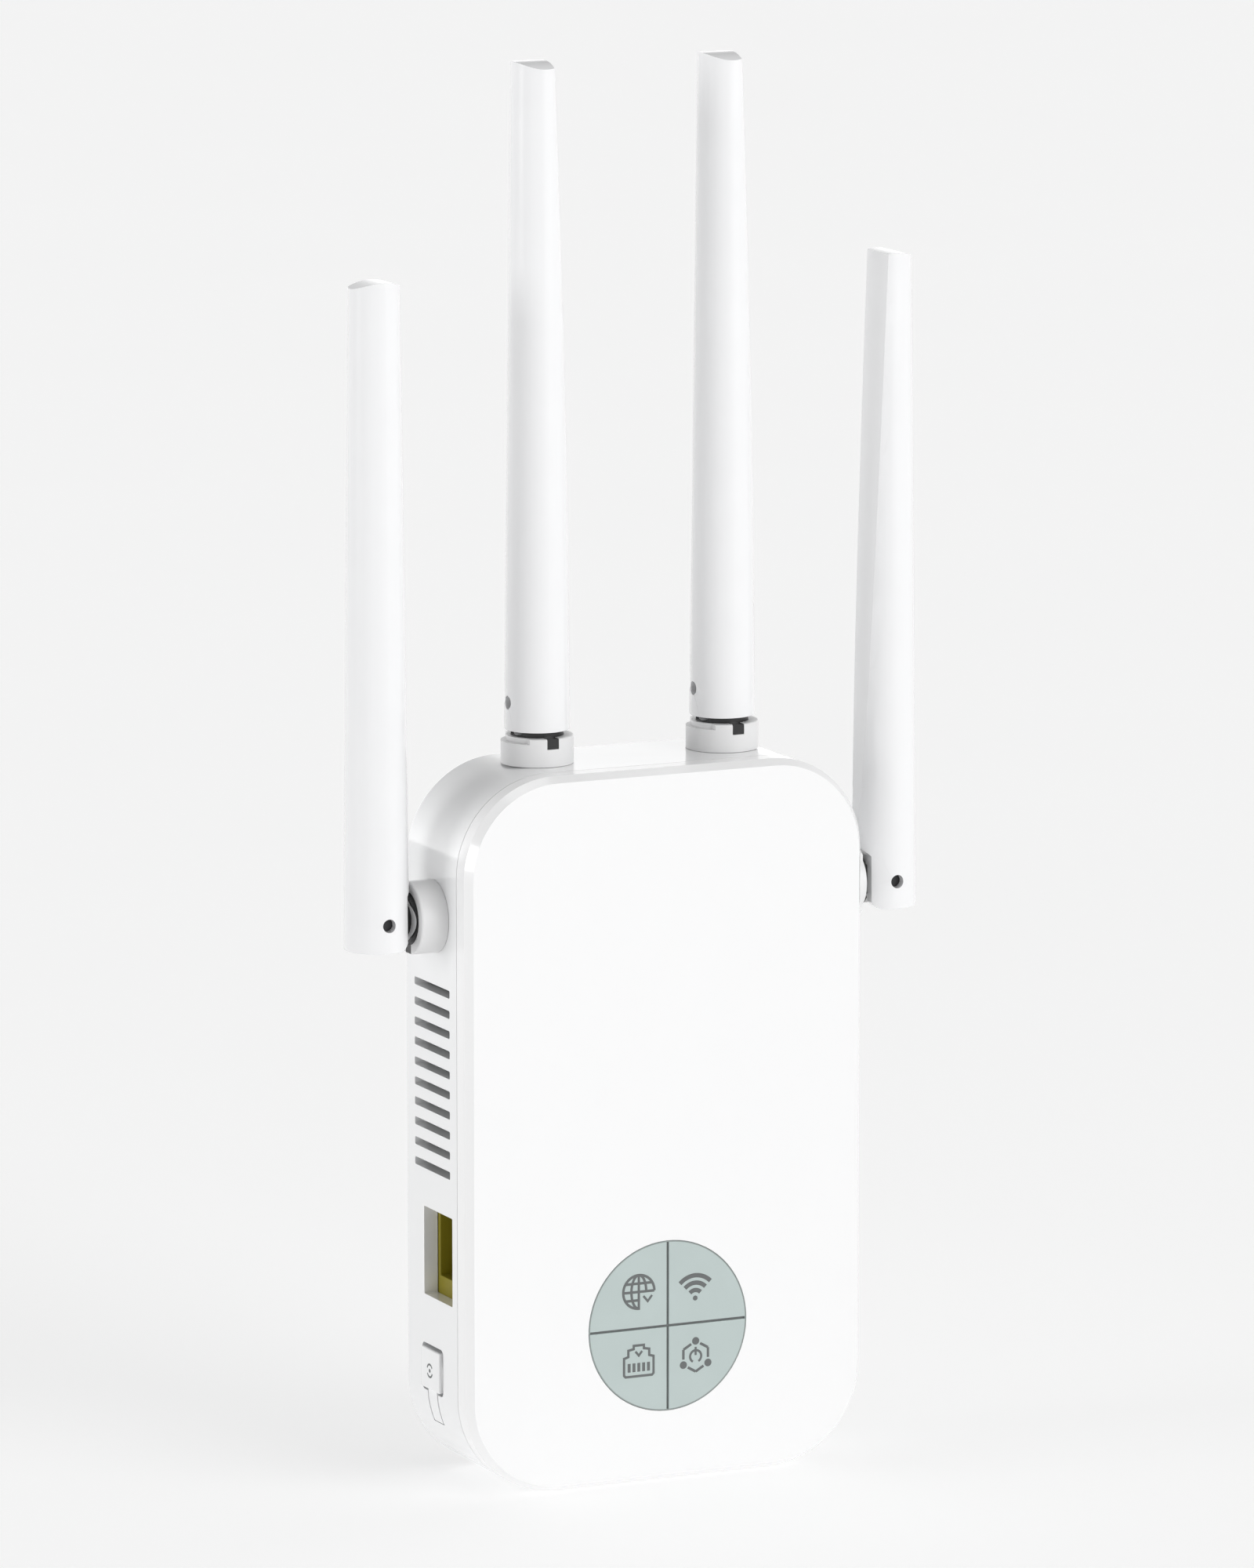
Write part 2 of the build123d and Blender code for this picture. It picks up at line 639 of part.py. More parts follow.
    with BuildPart() as pin:
        with BuildSketch(Plane.YZ.offset(-side * 4.4)):
            Circle(pin_r)
        extrude(amount=side * 8.6)
    save(pin.part.moved(aim.location), f"hinge_pin_{name}")

    with BuildPart() as radiator:
        with Locations((0, 0, 8)):
            Box(4.2, 0.8, 72, align=(Align.CENTER, Align.CENTER, Align.MIN))
    save(radiator.part.rotate(Axis.Z, turn + 90).moved(aim.location), f"radiator_{name}")
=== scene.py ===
"""Looks for a white plug-in wifi range extender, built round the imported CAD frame. Metres throughout."""
import json
import math

import bmesh
import bpy
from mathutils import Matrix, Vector, interpolate
from mathutils.bvhtree import BVHTree

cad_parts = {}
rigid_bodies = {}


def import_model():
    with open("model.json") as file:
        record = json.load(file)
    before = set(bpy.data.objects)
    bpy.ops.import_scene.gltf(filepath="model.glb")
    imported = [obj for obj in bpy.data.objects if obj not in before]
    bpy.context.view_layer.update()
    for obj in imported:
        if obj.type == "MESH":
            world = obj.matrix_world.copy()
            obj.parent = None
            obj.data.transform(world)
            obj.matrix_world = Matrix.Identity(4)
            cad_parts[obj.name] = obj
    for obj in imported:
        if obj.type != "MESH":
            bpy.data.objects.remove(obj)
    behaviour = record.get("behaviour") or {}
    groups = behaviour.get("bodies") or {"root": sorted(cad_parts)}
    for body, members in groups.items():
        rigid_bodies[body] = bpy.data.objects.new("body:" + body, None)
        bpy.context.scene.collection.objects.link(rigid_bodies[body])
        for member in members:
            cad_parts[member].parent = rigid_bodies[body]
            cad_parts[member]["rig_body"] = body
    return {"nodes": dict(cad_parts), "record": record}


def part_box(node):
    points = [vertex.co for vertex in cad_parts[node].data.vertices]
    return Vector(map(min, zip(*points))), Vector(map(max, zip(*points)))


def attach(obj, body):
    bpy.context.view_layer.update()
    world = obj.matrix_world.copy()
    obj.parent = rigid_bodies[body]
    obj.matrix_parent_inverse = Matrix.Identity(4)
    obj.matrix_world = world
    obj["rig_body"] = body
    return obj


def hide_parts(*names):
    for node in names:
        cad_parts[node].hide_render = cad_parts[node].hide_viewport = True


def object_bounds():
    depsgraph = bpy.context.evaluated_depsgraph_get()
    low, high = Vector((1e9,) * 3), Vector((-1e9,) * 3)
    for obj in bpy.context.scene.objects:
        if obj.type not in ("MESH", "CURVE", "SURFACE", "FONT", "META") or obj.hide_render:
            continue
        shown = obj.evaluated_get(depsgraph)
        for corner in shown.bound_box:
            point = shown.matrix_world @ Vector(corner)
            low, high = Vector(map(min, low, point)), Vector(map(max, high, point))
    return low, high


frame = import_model()
cad_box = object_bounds()
scene = bpy.context.scene
mm = 0.001

ANTENNAS = ("top_left", "top_right", "side_left", "side_right")

# ------------------------------------------------------------------ places taken from the frame
lens_low, lens_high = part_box("indicator_lens")
lens_mid = (lens_low + lens_high) / 2
lens_r = (lens_high.x - lens_low.x) / 2
lens_front = lens_low.y
button_low, button_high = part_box("wps_button")


# ------------------------------------------------------------------ camera and lamps
camera_target = Vector((8.1, 7.2, 55.5)) * mm
camera_azimuth, camera_elevation = math.radians(-25.02), math.radians(10.18)
camera_distance = 1.802
camera_lens, camera_sensor = 230.0, 36.0        # both in millimetres, as a camera has them
camera_sees = 20.0                              # how far the camera sees
lamp_distance = 3                               # a lamp's light is the same from any distance


def direction(azimuth, elevation):
    """From the object towards a place seen at that azimuth (0 in front) and elevation."""
    return Vector((math.sin(azimuth) * math.cos(elevation), -math.cos(azimuth) * math.cos(elevation),
                   math.sin(elevation)))


def look_at(obj, target):
    obj.rotation_euler = (target - obj.location).to_track_quat("-Z", "Y").to_euler()


def add_camera():
    data = bpy.data.cameras.new("camera")
    data.lens = camera_lens
    data.sensor_width = camera_sensor
    data.clip_end = camera_sees
    camera = bpy.data.objects.new("camera", data)
    scene.collection.objects.link(camera)
    camera.location = camera_target + direction(camera_azimuth, camera_elevation) * camera_distance
    look_at(camera, camera_target)
    scene.camera = camera


def add_soft_light(name, azimuth, elevation, strength, spread_deg):
    """An even light from a wide patch of the room, the same everywhere on the floor."""
    data = bpy.data.lights.new(name, "SUN")
    data.energy = strength
    data.angle = math.radians(spread_deg)
    lamp = bpy.data.objects.new(name, data)
    scene.collection.objects.link(lamp)
    lamp.location = direction(math.radians(azimuth), math.radians(elevation)) * lamp_distance
    look_at(lamp, Vector((0, 0, 0)))


# ------------------------------------------------------------------ materials
def new_material(name):
    made = bpy.data.materials.new(name)
    made.use_nodes = True
    tree = made.node_tree
    return made, tree, tree.nodes["Principled BSDF"]


def noise(tree, size_mm, detail=2.0, stretch=(1, 1, 1)):
    """Noise whose blotches are about size_mm across, in the piece's own metres."""
    where = tree.nodes.new("ShaderNodeTexCoord")
    mapping = tree.nodes.new("ShaderNodeMapping")
    mapping.inputs["Scale"].default_value = stretch
    texture = tree.nodes.new("ShaderNodeTexNoise")
    texture.inputs["Scale"].default_value = 1.0 / (size_mm * mm)
    texture.inputs["Detail"].default_value = detail
    tree.links.new(where.outputs["Object"], mapping.inputs["Vector"])
    tree.links.new(mapping.outputs["Vector"], texture.inputs["Vector"])
    return texture.outputs["Fac"]


noise_low, noise_high = 0.3, 0.7                # nearly all of a noise lies between these


def spread(tree, value, low, high):
    """Maps the noise's middle range onto low to high."""
    node = tree.nodes.new("ShaderNodeMapRange")
    node.inputs["From Min"].default_value = noise_low
    node.inputs["From Max"].default_value = noise_high
    node.inputs["To Min"].default_value = low
    node.inputs["To Max"].default_value = high
    tree.links.new(value, node.inputs["Value"])
    return node.outputs["Result"]


mix_factor, mix_first, mix_second, mix_result = 0, 6, 7, 2     # a Mix node's sockets when it mixes colours


def blend_colours(tree, value, first, second):
    ramp = tree.nodes.new("ShaderNodeMix")
    ramp.data_type = "RGBA"
    ramp.inputs[mix_first].default_value = (*first, 1)
    ramp.inputs[mix_second].default_value = (*second, 1)
    tree.links.new(value, ramp.inputs[mix_factor])
    return ramp.outputs[mix_result]


def add_bump(tree, shader, height, depth_mm, after=None):
    bump = tree.nodes.new("ShaderNodeBump")
    bump.inputs["Distance"].default_value = depth_mm * mm
    bump.inputs["Strength"].default_value = 1.0
    tree.links.new(height, bump.inputs["Height"])
    if after:
        tree.links.new(after, bump.inputs["Normal"])
    tree.links.new(bump.outputs["Normal"], shader.inputs["Normal"])
    return bump.outputs["Normal"]


skin_ior = 1.5
slow_detail, fine_detail = 3.0, 4.0


def moulded(name, colour, shade=0.03, rough=(0.2, 0.28), coat=0.0, coat_rough=0.08, grain_mm=0.25,
            grain_depth=0.002, wave_mm=9.0, wave_depth=0.004, metal=0.0, stretch=(1, 1, 1)):
    """A moulded or rolled skin: faint flow marks in colour and gloss, a fine grain, and a slow ripple."""
    made, tree, shader = new_material(name)
    darker = tuple(c * (1 - shade) for c in colour)
    slow = noise(tree, wave_mm, slow_detail, stretch)
    fine = noise(tree, grain_mm, fine_detail, stretch)
    tree.links.new(blend_colours(tree, spread(tree, slow, 0, 1), darker, colour), shader.inputs["Base Color"])
    tree.links.new(spread(tree, slow, *rough), shader.inputs["Roughness"])
    ripple = add_bump(tree, shader, slow, wave_depth)
    add_bump(tree, shader, fine, grain_depth, after=ripple)
    shader.inputs["Metallic"].default_value = metal
    shader.inputs["IOR"].default_value = skin_ior
    shader.inputs["Coat Weight"].default_value = coat
    shader.inputs["Coat Roughness"].default_value = coat_rough
    return made


mask_green, track_green = (0.02, 0.12, 0.05), (0.05, 0.24, 0.1)
track_scale, track_width, track_height_mm = 160.0, 0.04, 0.03
mask_wave_mm, mask_rough = 2.0, (0.3, 0.42)


def board(name):
    """Solder mask over copper: a weave of tracks shows as lighter green lines."""
    made, tree, shader = new_material(name)
    where = tree.nodes.new("ShaderNodeTexCoord")
    tracks = tree.nodes.new("ShaderNodeTexBrick")
    tracks.inputs["Scale"].default_value = track_scale
    tracks.inputs["Mortar Size"].default_value = track_width
    turn = tree.nodes.new("ShaderNodeMapping")
    turn.inputs["Rotation"].default_value = (math.pi / 2, 0, 0)
    tree.links.new(where.outputs["Object"], turn.inputs["Vector"])
    tree.links.new(turn.outputs["Vector"], tracks.inputs["Vector"])
    tree.links.new(blend_colours(tree, tracks.outputs["Fac"], mask_green, track_green),
                   shader.inputs["Base Color"])
    tree.links.new(spread(tree, noise(tree, mask_wave_mm), *mask_rough), shader.inputs["Roughness"])
    add_bump(tree, shader, tracks.outputs["Fac"], track_height_mm)
    return made


def translucent(name, colour, weight, rough):
    """A clear moulding that lets through the share of light that weight says."""
    made = moulded(name, colour, shade=0.05, rough=rough, grain_mm=0.3, grain_depth=0.001, wave_mm=6.0,
                   wave_depth=0.003)
    made.node_tree.nodes["Principled BSDF"].inputs["Transmission Weight"].default_value = weight
    return made


# name: colour, how much darker its flow marks are, its roughness from and to, and what else it sets
SKINS = {
    "shell_white": ((0.86, 0.865, 0.87), 0.004, (0.15, 0.18), {"coat": 0.7}),
    "cover_white": ((0.9, 0.9, 0.902), 0.003, (0.21, 0.24), {"coat": 0.6}),
    "lens_sage": ((0.475, 0.55, 0.538), 0.03, (0.3, 0.38), {"grain_mm": 0.18}),
    "lens_rim": ((0.27, 0.31, 0.3), 0.05, (0.35, 0.45), {}),
    "print_grey": ((0.13, 0.14, 0.14), 0.15, (0.45, 0.6), {"grain_mm": 0.1, "grain_depth": 0.004}),
    "baffle_white": ((0.8, 0.8, 0.78), 0.02, (0.45, 0.55), {}),
    "tin_plate": ((0.7, 0.71, 0.72), 0.08, (0.22, 0.4), {"metal": 1.0, "stretch": (1, 1, 12)}),
    "chip_black": ((0.025, 0.025, 0.028), 0.2, (0.5, 0.65), {"grain_mm": 0.12, "grain_depth": 0.006}),
    "jack_amber": ((0.27, 0.225, 0.004), 0.2, (0.5, 0.6), {}),
    "gold_contact": ((0.85, 0.6, 0.22), 0.1, (0.18, 0.32), {"metal": 1.0}),
    "switch_black": ((0.03, 0.03, 0.03), 0.1, (0.4, 0.5), {}),
    "transformer_yellow": ((0.7, 0.52, 0.06), 0.15, (0.35, 0.5), {"stretch": (1, 8, 1)}),
    "capacitor_dark": ((0.03, 0.035, 0.06), 0.1, (0.2, 0.3), {}),
    "plug_white": ((0.82, 0.82, 0.81), 0.02, (0.3, 0.4), {"grain_mm": 0.4, "grain_depth": 0.006}),
    "pin_nickel": ((0.76, 0.74, 0.7), 0.08, (0.12, 0.26), {"metal": 1.0, "stretch": (6, 1, 6)}),
    "sleeve_grey": ((0.07, 0.07, 0.075), 0.1, (0.45, 0.55), {}),
    "screw_steel": ((0.5, 0.5, 0.51), 0.15, (0.25, 0.42), {"metal": 1.0, "grain_mm": 0.2}),
    "lead_black": ((0.02, 0.02, 0.02), 0.1, (0.5, 0.6), {}),
    "collar_white": ((0.79, 0.79, 0.793), 0.015, (0.34, 0.44), {"coat": 0.1, "coat_rough": 0.3}),
    "knuckle_black": ((0.012, 0.012, 0.013), 0.2, (0.2, 0.35), {}),
    "antenna_white": ((0.87, 0.872, 0.88), 0.01, (0.18, 0.26),
                      {"coat": 0.8, "coat_rough": 0.18, "wave_depth": 0.003}),
    "hinge_steel": ((0.03, 0.03, 0.032), 0.2, (0.35, 0.5), {"metal": 0.4, "grain_mm": 0.15}),
    "radiator_copper": ((0.75, 0.35, 0.16), 0.15, (0.25, 0.4), {"metal": 1.0}),
    "floor_white": ((0.6, 0.6, 0.6), 0.01, (0.55, 0.65), {"wave_mm": 120.0, "grain_mm": 2.0}),
}
MATERIALS = {name: moulded(name, colour, shade, rough, **rest)
             for name, (colour, shade, rough, rest) in SKINS.items()}
MATERIALS["board_green"] = board("board_green")
MATERIALS["led_clear"] = translucent("led_clear", (0.9, 0.9, 0.8), weight=0.5, rough=(0.05, 0.12))


def paint(obj, name):
    """Gives obj the named material and no other."""
    obj.data.materials.clear()
    obj.data.materials.append(MATERIALS[name])


slot_of = {row["node"]: row["material_slot"] for row in frame["record"]["subparts"]}
for node, obj in frame["nodes"].items():
    paint(obj, slot_of[node])


# ------------------------------------------------------------------ CAD pieces with their edges softened
sharp_edge = 24.0               # an edge that turns by more degrees than this is broken
flat_angle = 0.2                # faces that turn by fewer degrees than this become one
same_point = 1e-7               # points closer than this many metres become one


def join_seams(mesh):
    """One clean surface from the tessellation: shared points joined, flat stretches made one face."""
    work = bmesh.new()
    work.from_mesh(mesh)
    bmesh.ops.remove_doubles(work, verts=work.verts, dist=same_point)
    bmesh.ops.dissolve_limit(work, angle_limit=math.radians(flat_angle), verts=work.verts, edges=work.edges)
    work.normal_update()
    for face in work.faces:
        face.smooth = True
    work.to_mesh(mesh)
    work.free()


look_inside = 0.004 * mm        # a corner looks this far into its own face, to miss the face beside it


def shade_like(mesh, source):
    """Gives every corner of mesh the surface normal that source has at that place, so only the broken
    edges turn the light, and the flats and curves stay clean."""
    corners = [p.co for p in source.vertices]
    faces = [tuple(face.vertices) for face in source.polygons]
    nearest = BVHTree.FromPolygons(corners, faces)
    exact = [normal.vector.copy() for normal in source.corner_normals]
    normals = [None] * len(mesh.loops)
    for face in mesh.polygons:
        around = [mesh.vertices[v].co for v in face.vertices]
        for i, loop in enumerate(face.loop_indices):
            at, ahead, behind = around[i], around[(i + 1) % len(around)], around[i - 1]
            inward = face.normal.cross((ahead - at).normalized() + (at - behind).normalized())
            spot, _, found, _ = nearest.find_nearest(at + inward * look_inside)
            near = source.polygons[found]
            weights = interpolate.poly_3d_calc([corners[v] for v in near.vertices], spot)
            normal = Vector((0, 0, 0))
            for weight, corner in zip(weights, near.loop_indices):
                normal += exact[corner] * weight
            normals[loop] = normal.normalized()
    mesh.normals_split_custom_set(normals)


def softened(node, width_mm):
    """Stands for a CAD node: the same solid with its sharp edges broken by width_mm."""
    source = frame["nodes"][node]
    mesh = source.data.copy()
    join_seams(mesh)
    made = bpy.data.objects.new(f"{node}_shown", mesh)
    scene.collection.objects.link(made)
    bevel = made.modifiers.new("edges", "BEVEL")
    bevel.width = width_mm * mm
    bevel.segments = 1
    bevel.limit_method = "ANGLE"
    bevel.angle_limit = math.radians(sharp_edge)
    bevel.use_clamp_overlap = True
    made.data = bpy.data.meshes.new_from_object(made.evaluated_get(bpy.context.evaluated_depsgraph_get()))
    made.modifiers.clear()
    shade_like(made.data, source.data)
    paint(made, slot_of[node])
    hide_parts(node)
    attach(made, source["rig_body"])
    return made


# node: how wide its sharp edges are broken, in mm
SOFT_EDGES = {"rear_shell": 0.12, "front_cover": 0.22, "wps_button": 0.1, "plug_base": 0.15,
              "ethernet_jack": 0.15}
lens_edge = 0.12
for where in ANTENNAS:
    SOFT_EDGES[f"antenna_{where}"] = 0.25
    SOFT_EDGES[f"collar_{where}"] = 0.15
    SOFT_EDGES[f"knuckle_{where}"] = 0.1
for node, width in SOFT_EDGES.items():
    softened(node, width)


# ------------------------------------------------------------------ printed marks
def to_object(work, name):
    """The finished mesh as an object in the scene, with its faces turned outwards."""
    bmesh.ops.recalc_face_normals(work, faces=work.faces)
    mesh = bpy.data.meshes.new(name)
    work.to_mesh(mesh)
    work.free()
    made = bpy.data.objects.new(name, mesh)
    scene.collection.objects.link(made)
    return made


thinner = 0.03                  # each stroke is thinner by this share, so crossing strokes never share a face
sharpest = 0.5                  # keeps a stroke's corner from running out into a spike


def strokes_to_object(name, paths, place, across, up, out, depth):
    """Printed lines as thin raised ribbons. paths are (points, width, closed) in mm on the plane
    with its origin at place; out is the way the print faces."""
    work = bmesh.new()
    for number, (points, width, closed) in enumerate(paths):
        thick = depth * (1 - thinner * number)
        points = [Vector(p) for p in points]
        count = len(points)
        rails = []
        for i, p in enumerate(points):
            before = points[i - 1] if (closed or i > 0) else None
            after = points[(i + 1) % count] if (closed or i < count - 1) else None
            ways = []
            if before is not None:
                ways.append((p - before).normalized())
            if after is not None:
                ways.append((after - p).normalized())
            along = sum(ways, Vector((0, 0))).normalized()
            side = Vector((-along.y, along.x))
            stretch = 1 / max(sharpest, abs(along.dot(ways[0])))
            rails.append((p + side * width / 2 * stretch, p - side * width / 2 * stretch))
        rings = []
        for left, right in rails:
            ring = []
            for level, q in ((0, left), (1, left), (1, right), (0, right)):
                at = place + across * (q.x * mm) + up * (q.y * mm) + out * (level * thick)
                ring.append(work.verts.new(at))
            rings.append(ring)
        spans = list(zip(rings, rings[1:] + rings[:1])) if closed else list(zip(rings, rings[1:]))
        for a, b in spans:
            for j in range(4):
                k = (j + 1) % 4
                work.faces.new((a[j], a[k], b[k], b[j]))
        if not closed:
            work.faces.new(rings[0])
            work.faces.new(reversed(rings[-1]))
    return to_object(work, name)


fine_line = 0.42                # the icons' finest line, in mm


def arc(x, y, r, start, end, steps=24):
    """Points on an arc about (x, y), in mm, from start to end degrees anticlockwise."""
    angles = [math.radians(start + (end - start) * i / steps) for i in range(steps + 1)]
    return [(x + r * math.cos(a), y + r * math.sin(a)) for a in angles]


def circle(x, y, r, steps):
    """Points all round a circle, the last one a step short of the first."""
    return arc(x, y, r, 0, 360 - 360 / steps, steps - 1)


def ellipse_arc(x, y, rx, ry, start, end, steps=24):
    """The same, rx wide and ry high."""
    return [(x + (px - x) * rx / ry, py) for px, py in arc(x, y, ry, start, end, steps)]


def dot(x, y, r):
    """A filled round spot as one wide closed ring."""
    return (circle(x, y, r / 2, 24), r, True)


def tick(x, y, size):
    """A small V, drawn in the finest line."""
    top, foot = y + size * 0.8, y - size * 0.4
    return ([(x - size, top), (x, foot), (x + size, top)], fine_line, False)


def globe_mark(x, y):
    """A globe of two rings, a pole and three parallels, its lower right quarter left to a small V."""
    r, narrow_r, line = 3.05, 1.45, 0.48
    paths = [(arc(x, y, r, 0, 270, 48), line, False),
             (ellipse_arc(x, y, narrow_r, r, 0, 270, 40), line, False),
             ([(x, y - r - line / 2), (x, y + r)], line, False)]
    for rise in (-0.5, 0.0, 0.5):
        half = r * math.sqrt(1 - rise ** 2)
        right = x + half if rise >= 0 else x
        paths.append(([(x - half, y + rise * r), (right, y + rise * r)], line, False))
    paths.append(tick(x + 1.75, y - 1.5, 0.85))
    return paths


def wireless_mark(x, y):
    """Three arcs over a spot."""
    line, spot_r = 0.8, 0.46
    paths = [(arc(x, y, r, 44, 136), line, False) for r in (1.45, 2.8, 4.15)]
    return paths + [dot(x, y, spot_r)]


def port_mark(x, y):
    """A network socket's outline with five contacts and a small V."""
    line, contact_line, contact_pitch = 0.45, 0.58, 0.95
    half = [(2.6, -2.65), (2.9, -2.35), (2.9, 0.75), (2.05, 1.0), (2.05, 2.15), (1.0, 2.35), (1.0, 2.95)]
    outline = half + [(-px, py) for px, py in reversed(half)]
    paths = [([(x + px, y + py) for px, py in outline], line, True)]
    for i in range(5):
        bar = x + (i - 2) * contact_pitch
        paths.append(([(bar, y - 1.85), (bar, y - 0.25)], contact_line, False))
    paths.append(tick(x, y + 1.35, 0.65))
    return paths


def pairing_mark(x, y):
    """A ring of six sides, open at three corners, each open corner with a spot, round an open ring."""
    r, line, spot_r, inner_r = 2.8, 0.48, 0.7, 1.1
    opened = 0.36                # the share of a side that is left out beside a spot
    corners = [Vector((math.cos(t), math.sin(t))) * r for t in (math.radians(90 + 60 * i) for i in range(7))]
    paths = []
    for i, (a, b) in enumerate(zip(corners, corners[1:])):
        p = a.lerp(b, opened if i % 2 == 0 else 0.0)
        q = b.lerp(a, opened if i % 2 == 1 else 0.0)
        paths.append(([(x + p.x, y + p.y), (x + q.x, y + q.y)], line, False))
    for i in (0, 2, 4):
        t = math.radians(90 + 60 * i)
        paths.append(dot(x + r * math.cos(t), y + r * math.sin(t), spot_r))
    paths.append((arc(x, y, inner_r, -60, 240), fine_line, False))
    paths.append(([(x, y + 0.2), (x, y + 1.7)], fine_line, False))
    return paths


right, up, room = Vector((1, 0, 0)), Vector((0, 0, 1)), Vector((0, -1, 0))
print_depth = 0.02 * mm
lens_face = Vector((lens_mid.x, lens_front + print_depth, lens_mid.z))

# the lens moves in by the thickness of its print, so that the print stays inside the CAD box
lens_shown = softened("indicator_lens", lens_edge)
for vertex in lens_shown.data.vertices:
    vertex.co.y += print_depth

# each icon is drawn round a point in its own field, in mm from the middle of the lens
marks = {"mark_network": globe_mark(-5.7, 6.7), "mark_wireless": wireless_mark(5.4, 4.5),
         "mark_port": port_mark(-5.7, -6.0), "mark_pairing": pairing_mark(5.5, -6.15)}
for name, paths in marks.items():
    mark = strokes_to_object(name, paths, lens_face, right, up, room, print_depth)
    paint(mark, "print_grey")
    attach(mark, "base")

# the thin line round the lens, and the dark line in the bottom of its cross
rim_inset, rim_line = 0.11, 0.19
cross_inset, cross_line = 0.2, 0.36
cross_depth, cross_print, rim_print = 0.35 * mm, 0.06 * mm, 0.6 * print_depth
rim = strokes_to_object("lens_line", [(circle(0, 0, lens_r / mm - rim_inset, 120), rim_line, True)],
                        lens_face, right, up, room, rim_print)
paint(rim, "lens_rim")
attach(rim, "base")
groove = Vector((lens_mid.x, lens_front + cross_depth, lens_mid.z))
reach = lens_r / mm - cross_inset
cross = strokes_to_object("lens_cross", [([(0, -reach), (0, reach)], cross_line, False),
                                         ([(-reach, 0), (reach, 0)], cross_line, False)],
                          groove, right, up, room, cross_print)
paint(cross, "print_grey")
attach(cross, "base")

# two arcs round a spot on the button
button_mark_z = -44.0 * mm
turn_r, turn_line, turn_spot, button_print = 1.15, 0.34, 0.36, 0.015 * mm
button_face = Vector((button_low.x, (button_low.y + button_high.y) / 2, button_mark_z))
turns = [(arc(0, 0, turn_r, start, start + 130, 16), turn_line, False) for start in (20, 200)]
button_mark = strokes_to_object("mark_button", turns + [dot(0, 0, turn_spot)], button_face,
                                Vector((0, 1, 0)), up, Vector((-1, 0, 0)), button_print)
paint(button_mark, "print_grey")
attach(button_mark, "button")

# ------------------------------------------------------------------ pale pads in the knuckles
# as the CAD has them, in mm: the pin above the shell, the saddle's trough round the pin, the saddle's top
pivot_height, trough_r, saddle_height = 11.0, 5.87, 5.85
pad_r, pad_under, pad_over = 4.15, 0.01, 0.05   # the pad's radius, and its two faces above the saddle
pad_spokes, pad_rings = 48, 9


def saddle_pad(where):
    """A pale pad lying in the knuckle's saddle, inside its black rim. It turns with the collar."""
    pin_low, pin_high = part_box(f"hinge_pin_{where}")
    ring_low, ring_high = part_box(f"collar_{where}")
    middle, pin_mid = (ring_low + ring_high) / 2, (pin_low + pin_high) / 2
    out = Vector((0, 0, 1)) if where.startswith("top") else Vector((-1 if "left" in where else 1, 0, 0))
    long = pin_high - pin_low
    pin = Vector((0, 1, 0)) if long.y > max(long.x, long.z) else Vector((1, 0, 0))
    pivot = middle + out * (pin_mid - middle).dot(out)
    across = out.cross(pin)

    def spot(u, v, lift):
        rise = min(saddle_height, pivot_height - math.sqrt(trough_r ** 2 - v ** 2)) + lift
        return pivot + (pin * u + across * v + out * (rise - pivot_height)) * mm

    work = bmesh.new()
    layers = []
    angles = [math.radians(360 / pad_spokes * i) for i in range(pad_spokes)]
    for lift in (pad_under, pad_over):
        rings = [[work.verts.new(spot(0, 0, lift))]]
        for ring in range(1, pad_rings + 1):
            r = pad_r * ring / pad_rings
            rings.append([work.verts.new(spot(r * math.cos(a), r * math.sin(a), lift)) for a in angles])
        for i in range(pad_spokes):
            k = (i + 1) % pad_spokes
            work.faces.new((rings[0][0], rings[1][i], rings[1][k]))
            for inner, outer in zip(rings[1:], rings[2:]):
                work.faces.new((inner[i], outer[i], outer[k], inner[k]))
        layers.append(rings[-1])
    for i in range(pad_spokes):
        k = (i + 1) % pad_spokes
        work.faces.new((layers[0][i], layers[0][k], layers[1][k], layers[1][i]))
    made = to_object(work, f"pad_{where}")
    paint(made, "collar_white")
    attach(made, f"swivel_{where}")


for where in ANTENNAS:
    saddle_pad(where)

# ------------------------------------------------------------------ floor, light and world
floor_size, floor_gap, floor_glow = 12.0, 0.3 * mm, 0.5


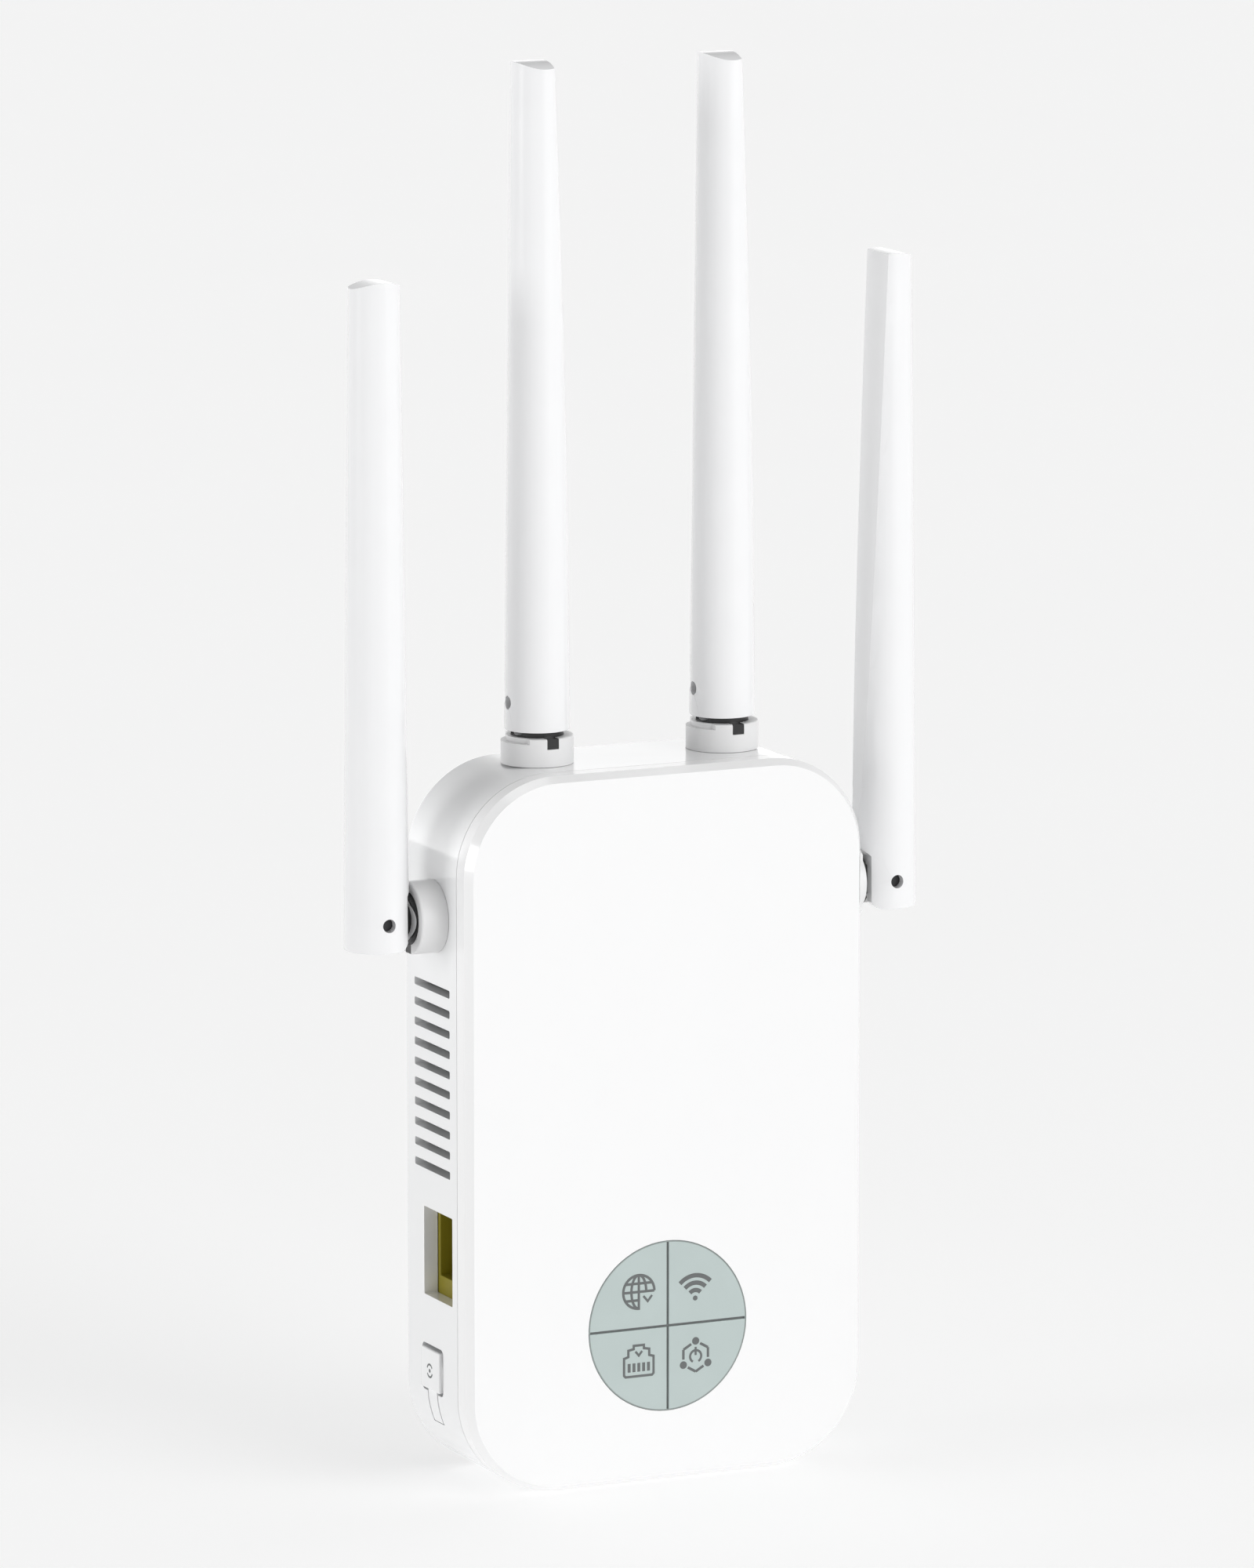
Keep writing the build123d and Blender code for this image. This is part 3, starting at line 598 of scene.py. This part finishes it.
def add_floor():
    """A plain pale floor just under the body. It glows a little and has no gloss, so it stays even."""
    bpy.ops.mesh.primitive_plane_add(size=floor_size, location=(0, 0, cad_box[0][2] - floor_gap))
    floor = bpy.context.object
    floor.name = "floor"
    paint(floor, "floor_white")
    shader = MATERIALS["floor_white"].node_tree.nodes["Principled BSDF"]
    shader.inputs["Emission Color"].default_value = (1, 1, 1, 1)
    shader.inputs["Emission Strength"].default_value = floor_glow
    shader.inputs["Specular IOR Level"].default_value = 0.0


# name: azimuth and elevation in degrees, strength, and how wide it looks in degrees
LAMPS = {"room": (20, 84, 0.75, 50), "key": (30, 12, 1.7, 45), "fill": (-93, 8, 0.92, 26)}

fade_height = 0.45                              # the sine of the angle up from which the room is dimmest
level_light, overhead_light = 0.95, 0.16
front_wall, back_wall = 1.0, 2.1                # how many times brighter each is
room_tone = 0.88                                # what the camera sees of the room


def add_world():
    """A plain white room, bright at eye level, brighter towards its back wall and dimmer overhead.
    The camera sees it as one even tone, near that of the floor."""
    world = bpy.data.worlds.new("studio")
    world.use_nodes = True
    tree = world.node_tree
    where = tree.nodes.new("ShaderNodeTexCoord")
    split = tree.nodes.new("ShaderNodeSeparateXYZ")
    fade = tree.nodes.new("ShaderNodeMapRange")
    fade.inputs["From Max"].default_value = fade_height
    fade.inputs["To Min"].default_value = level_light
    fade.inputs["To Max"].default_value = overhead_light
    tree.nodes["Background"].inputs["Color"].default_value = (1, 1, 1, 1)
    tree.links.new(where.outputs["Generated"], split.inputs["Vector"])
    tree.links.new(split.outputs["Z"], fade.inputs["Value"])
    wall = tree.nodes.new("ShaderNodeMapRange")
    wall.inputs["To Min"].default_value = front_wall
    wall.inputs["To Max"].default_value = back_wall
    both = tree.nodes.new("ShaderNodeMath")
    both.operation = "MULTIPLY"
    tree.links.new(split.outputs["Y"], wall.inputs["Value"])
    tree.links.new(fade.outputs["Result"], both.inputs[0])
    tree.links.new(wall.outputs["Result"], both.inputs[1])
    seen = tree.nodes.new("ShaderNodeLightPath")
    shown = tree.nodes.new("ShaderNodeMix")
    shown.inputs["B"].default_value = room_tone
    tree.links.new(seen.outputs["Is Camera Ray"], shown.inputs["Factor"])
    tree.links.new(both.outputs["Value"], shown.inputs["A"])
    tree.links.new(shown.outputs["Result"], tree.nodes["Background"].inputs["Strength"])
    scene.world = world


add_floor()
add_camera()
for name, settings in LAMPS.items():
    add_soft_light(name, *settings)
add_world()
scene.view_settings.view_transform = "Standard"
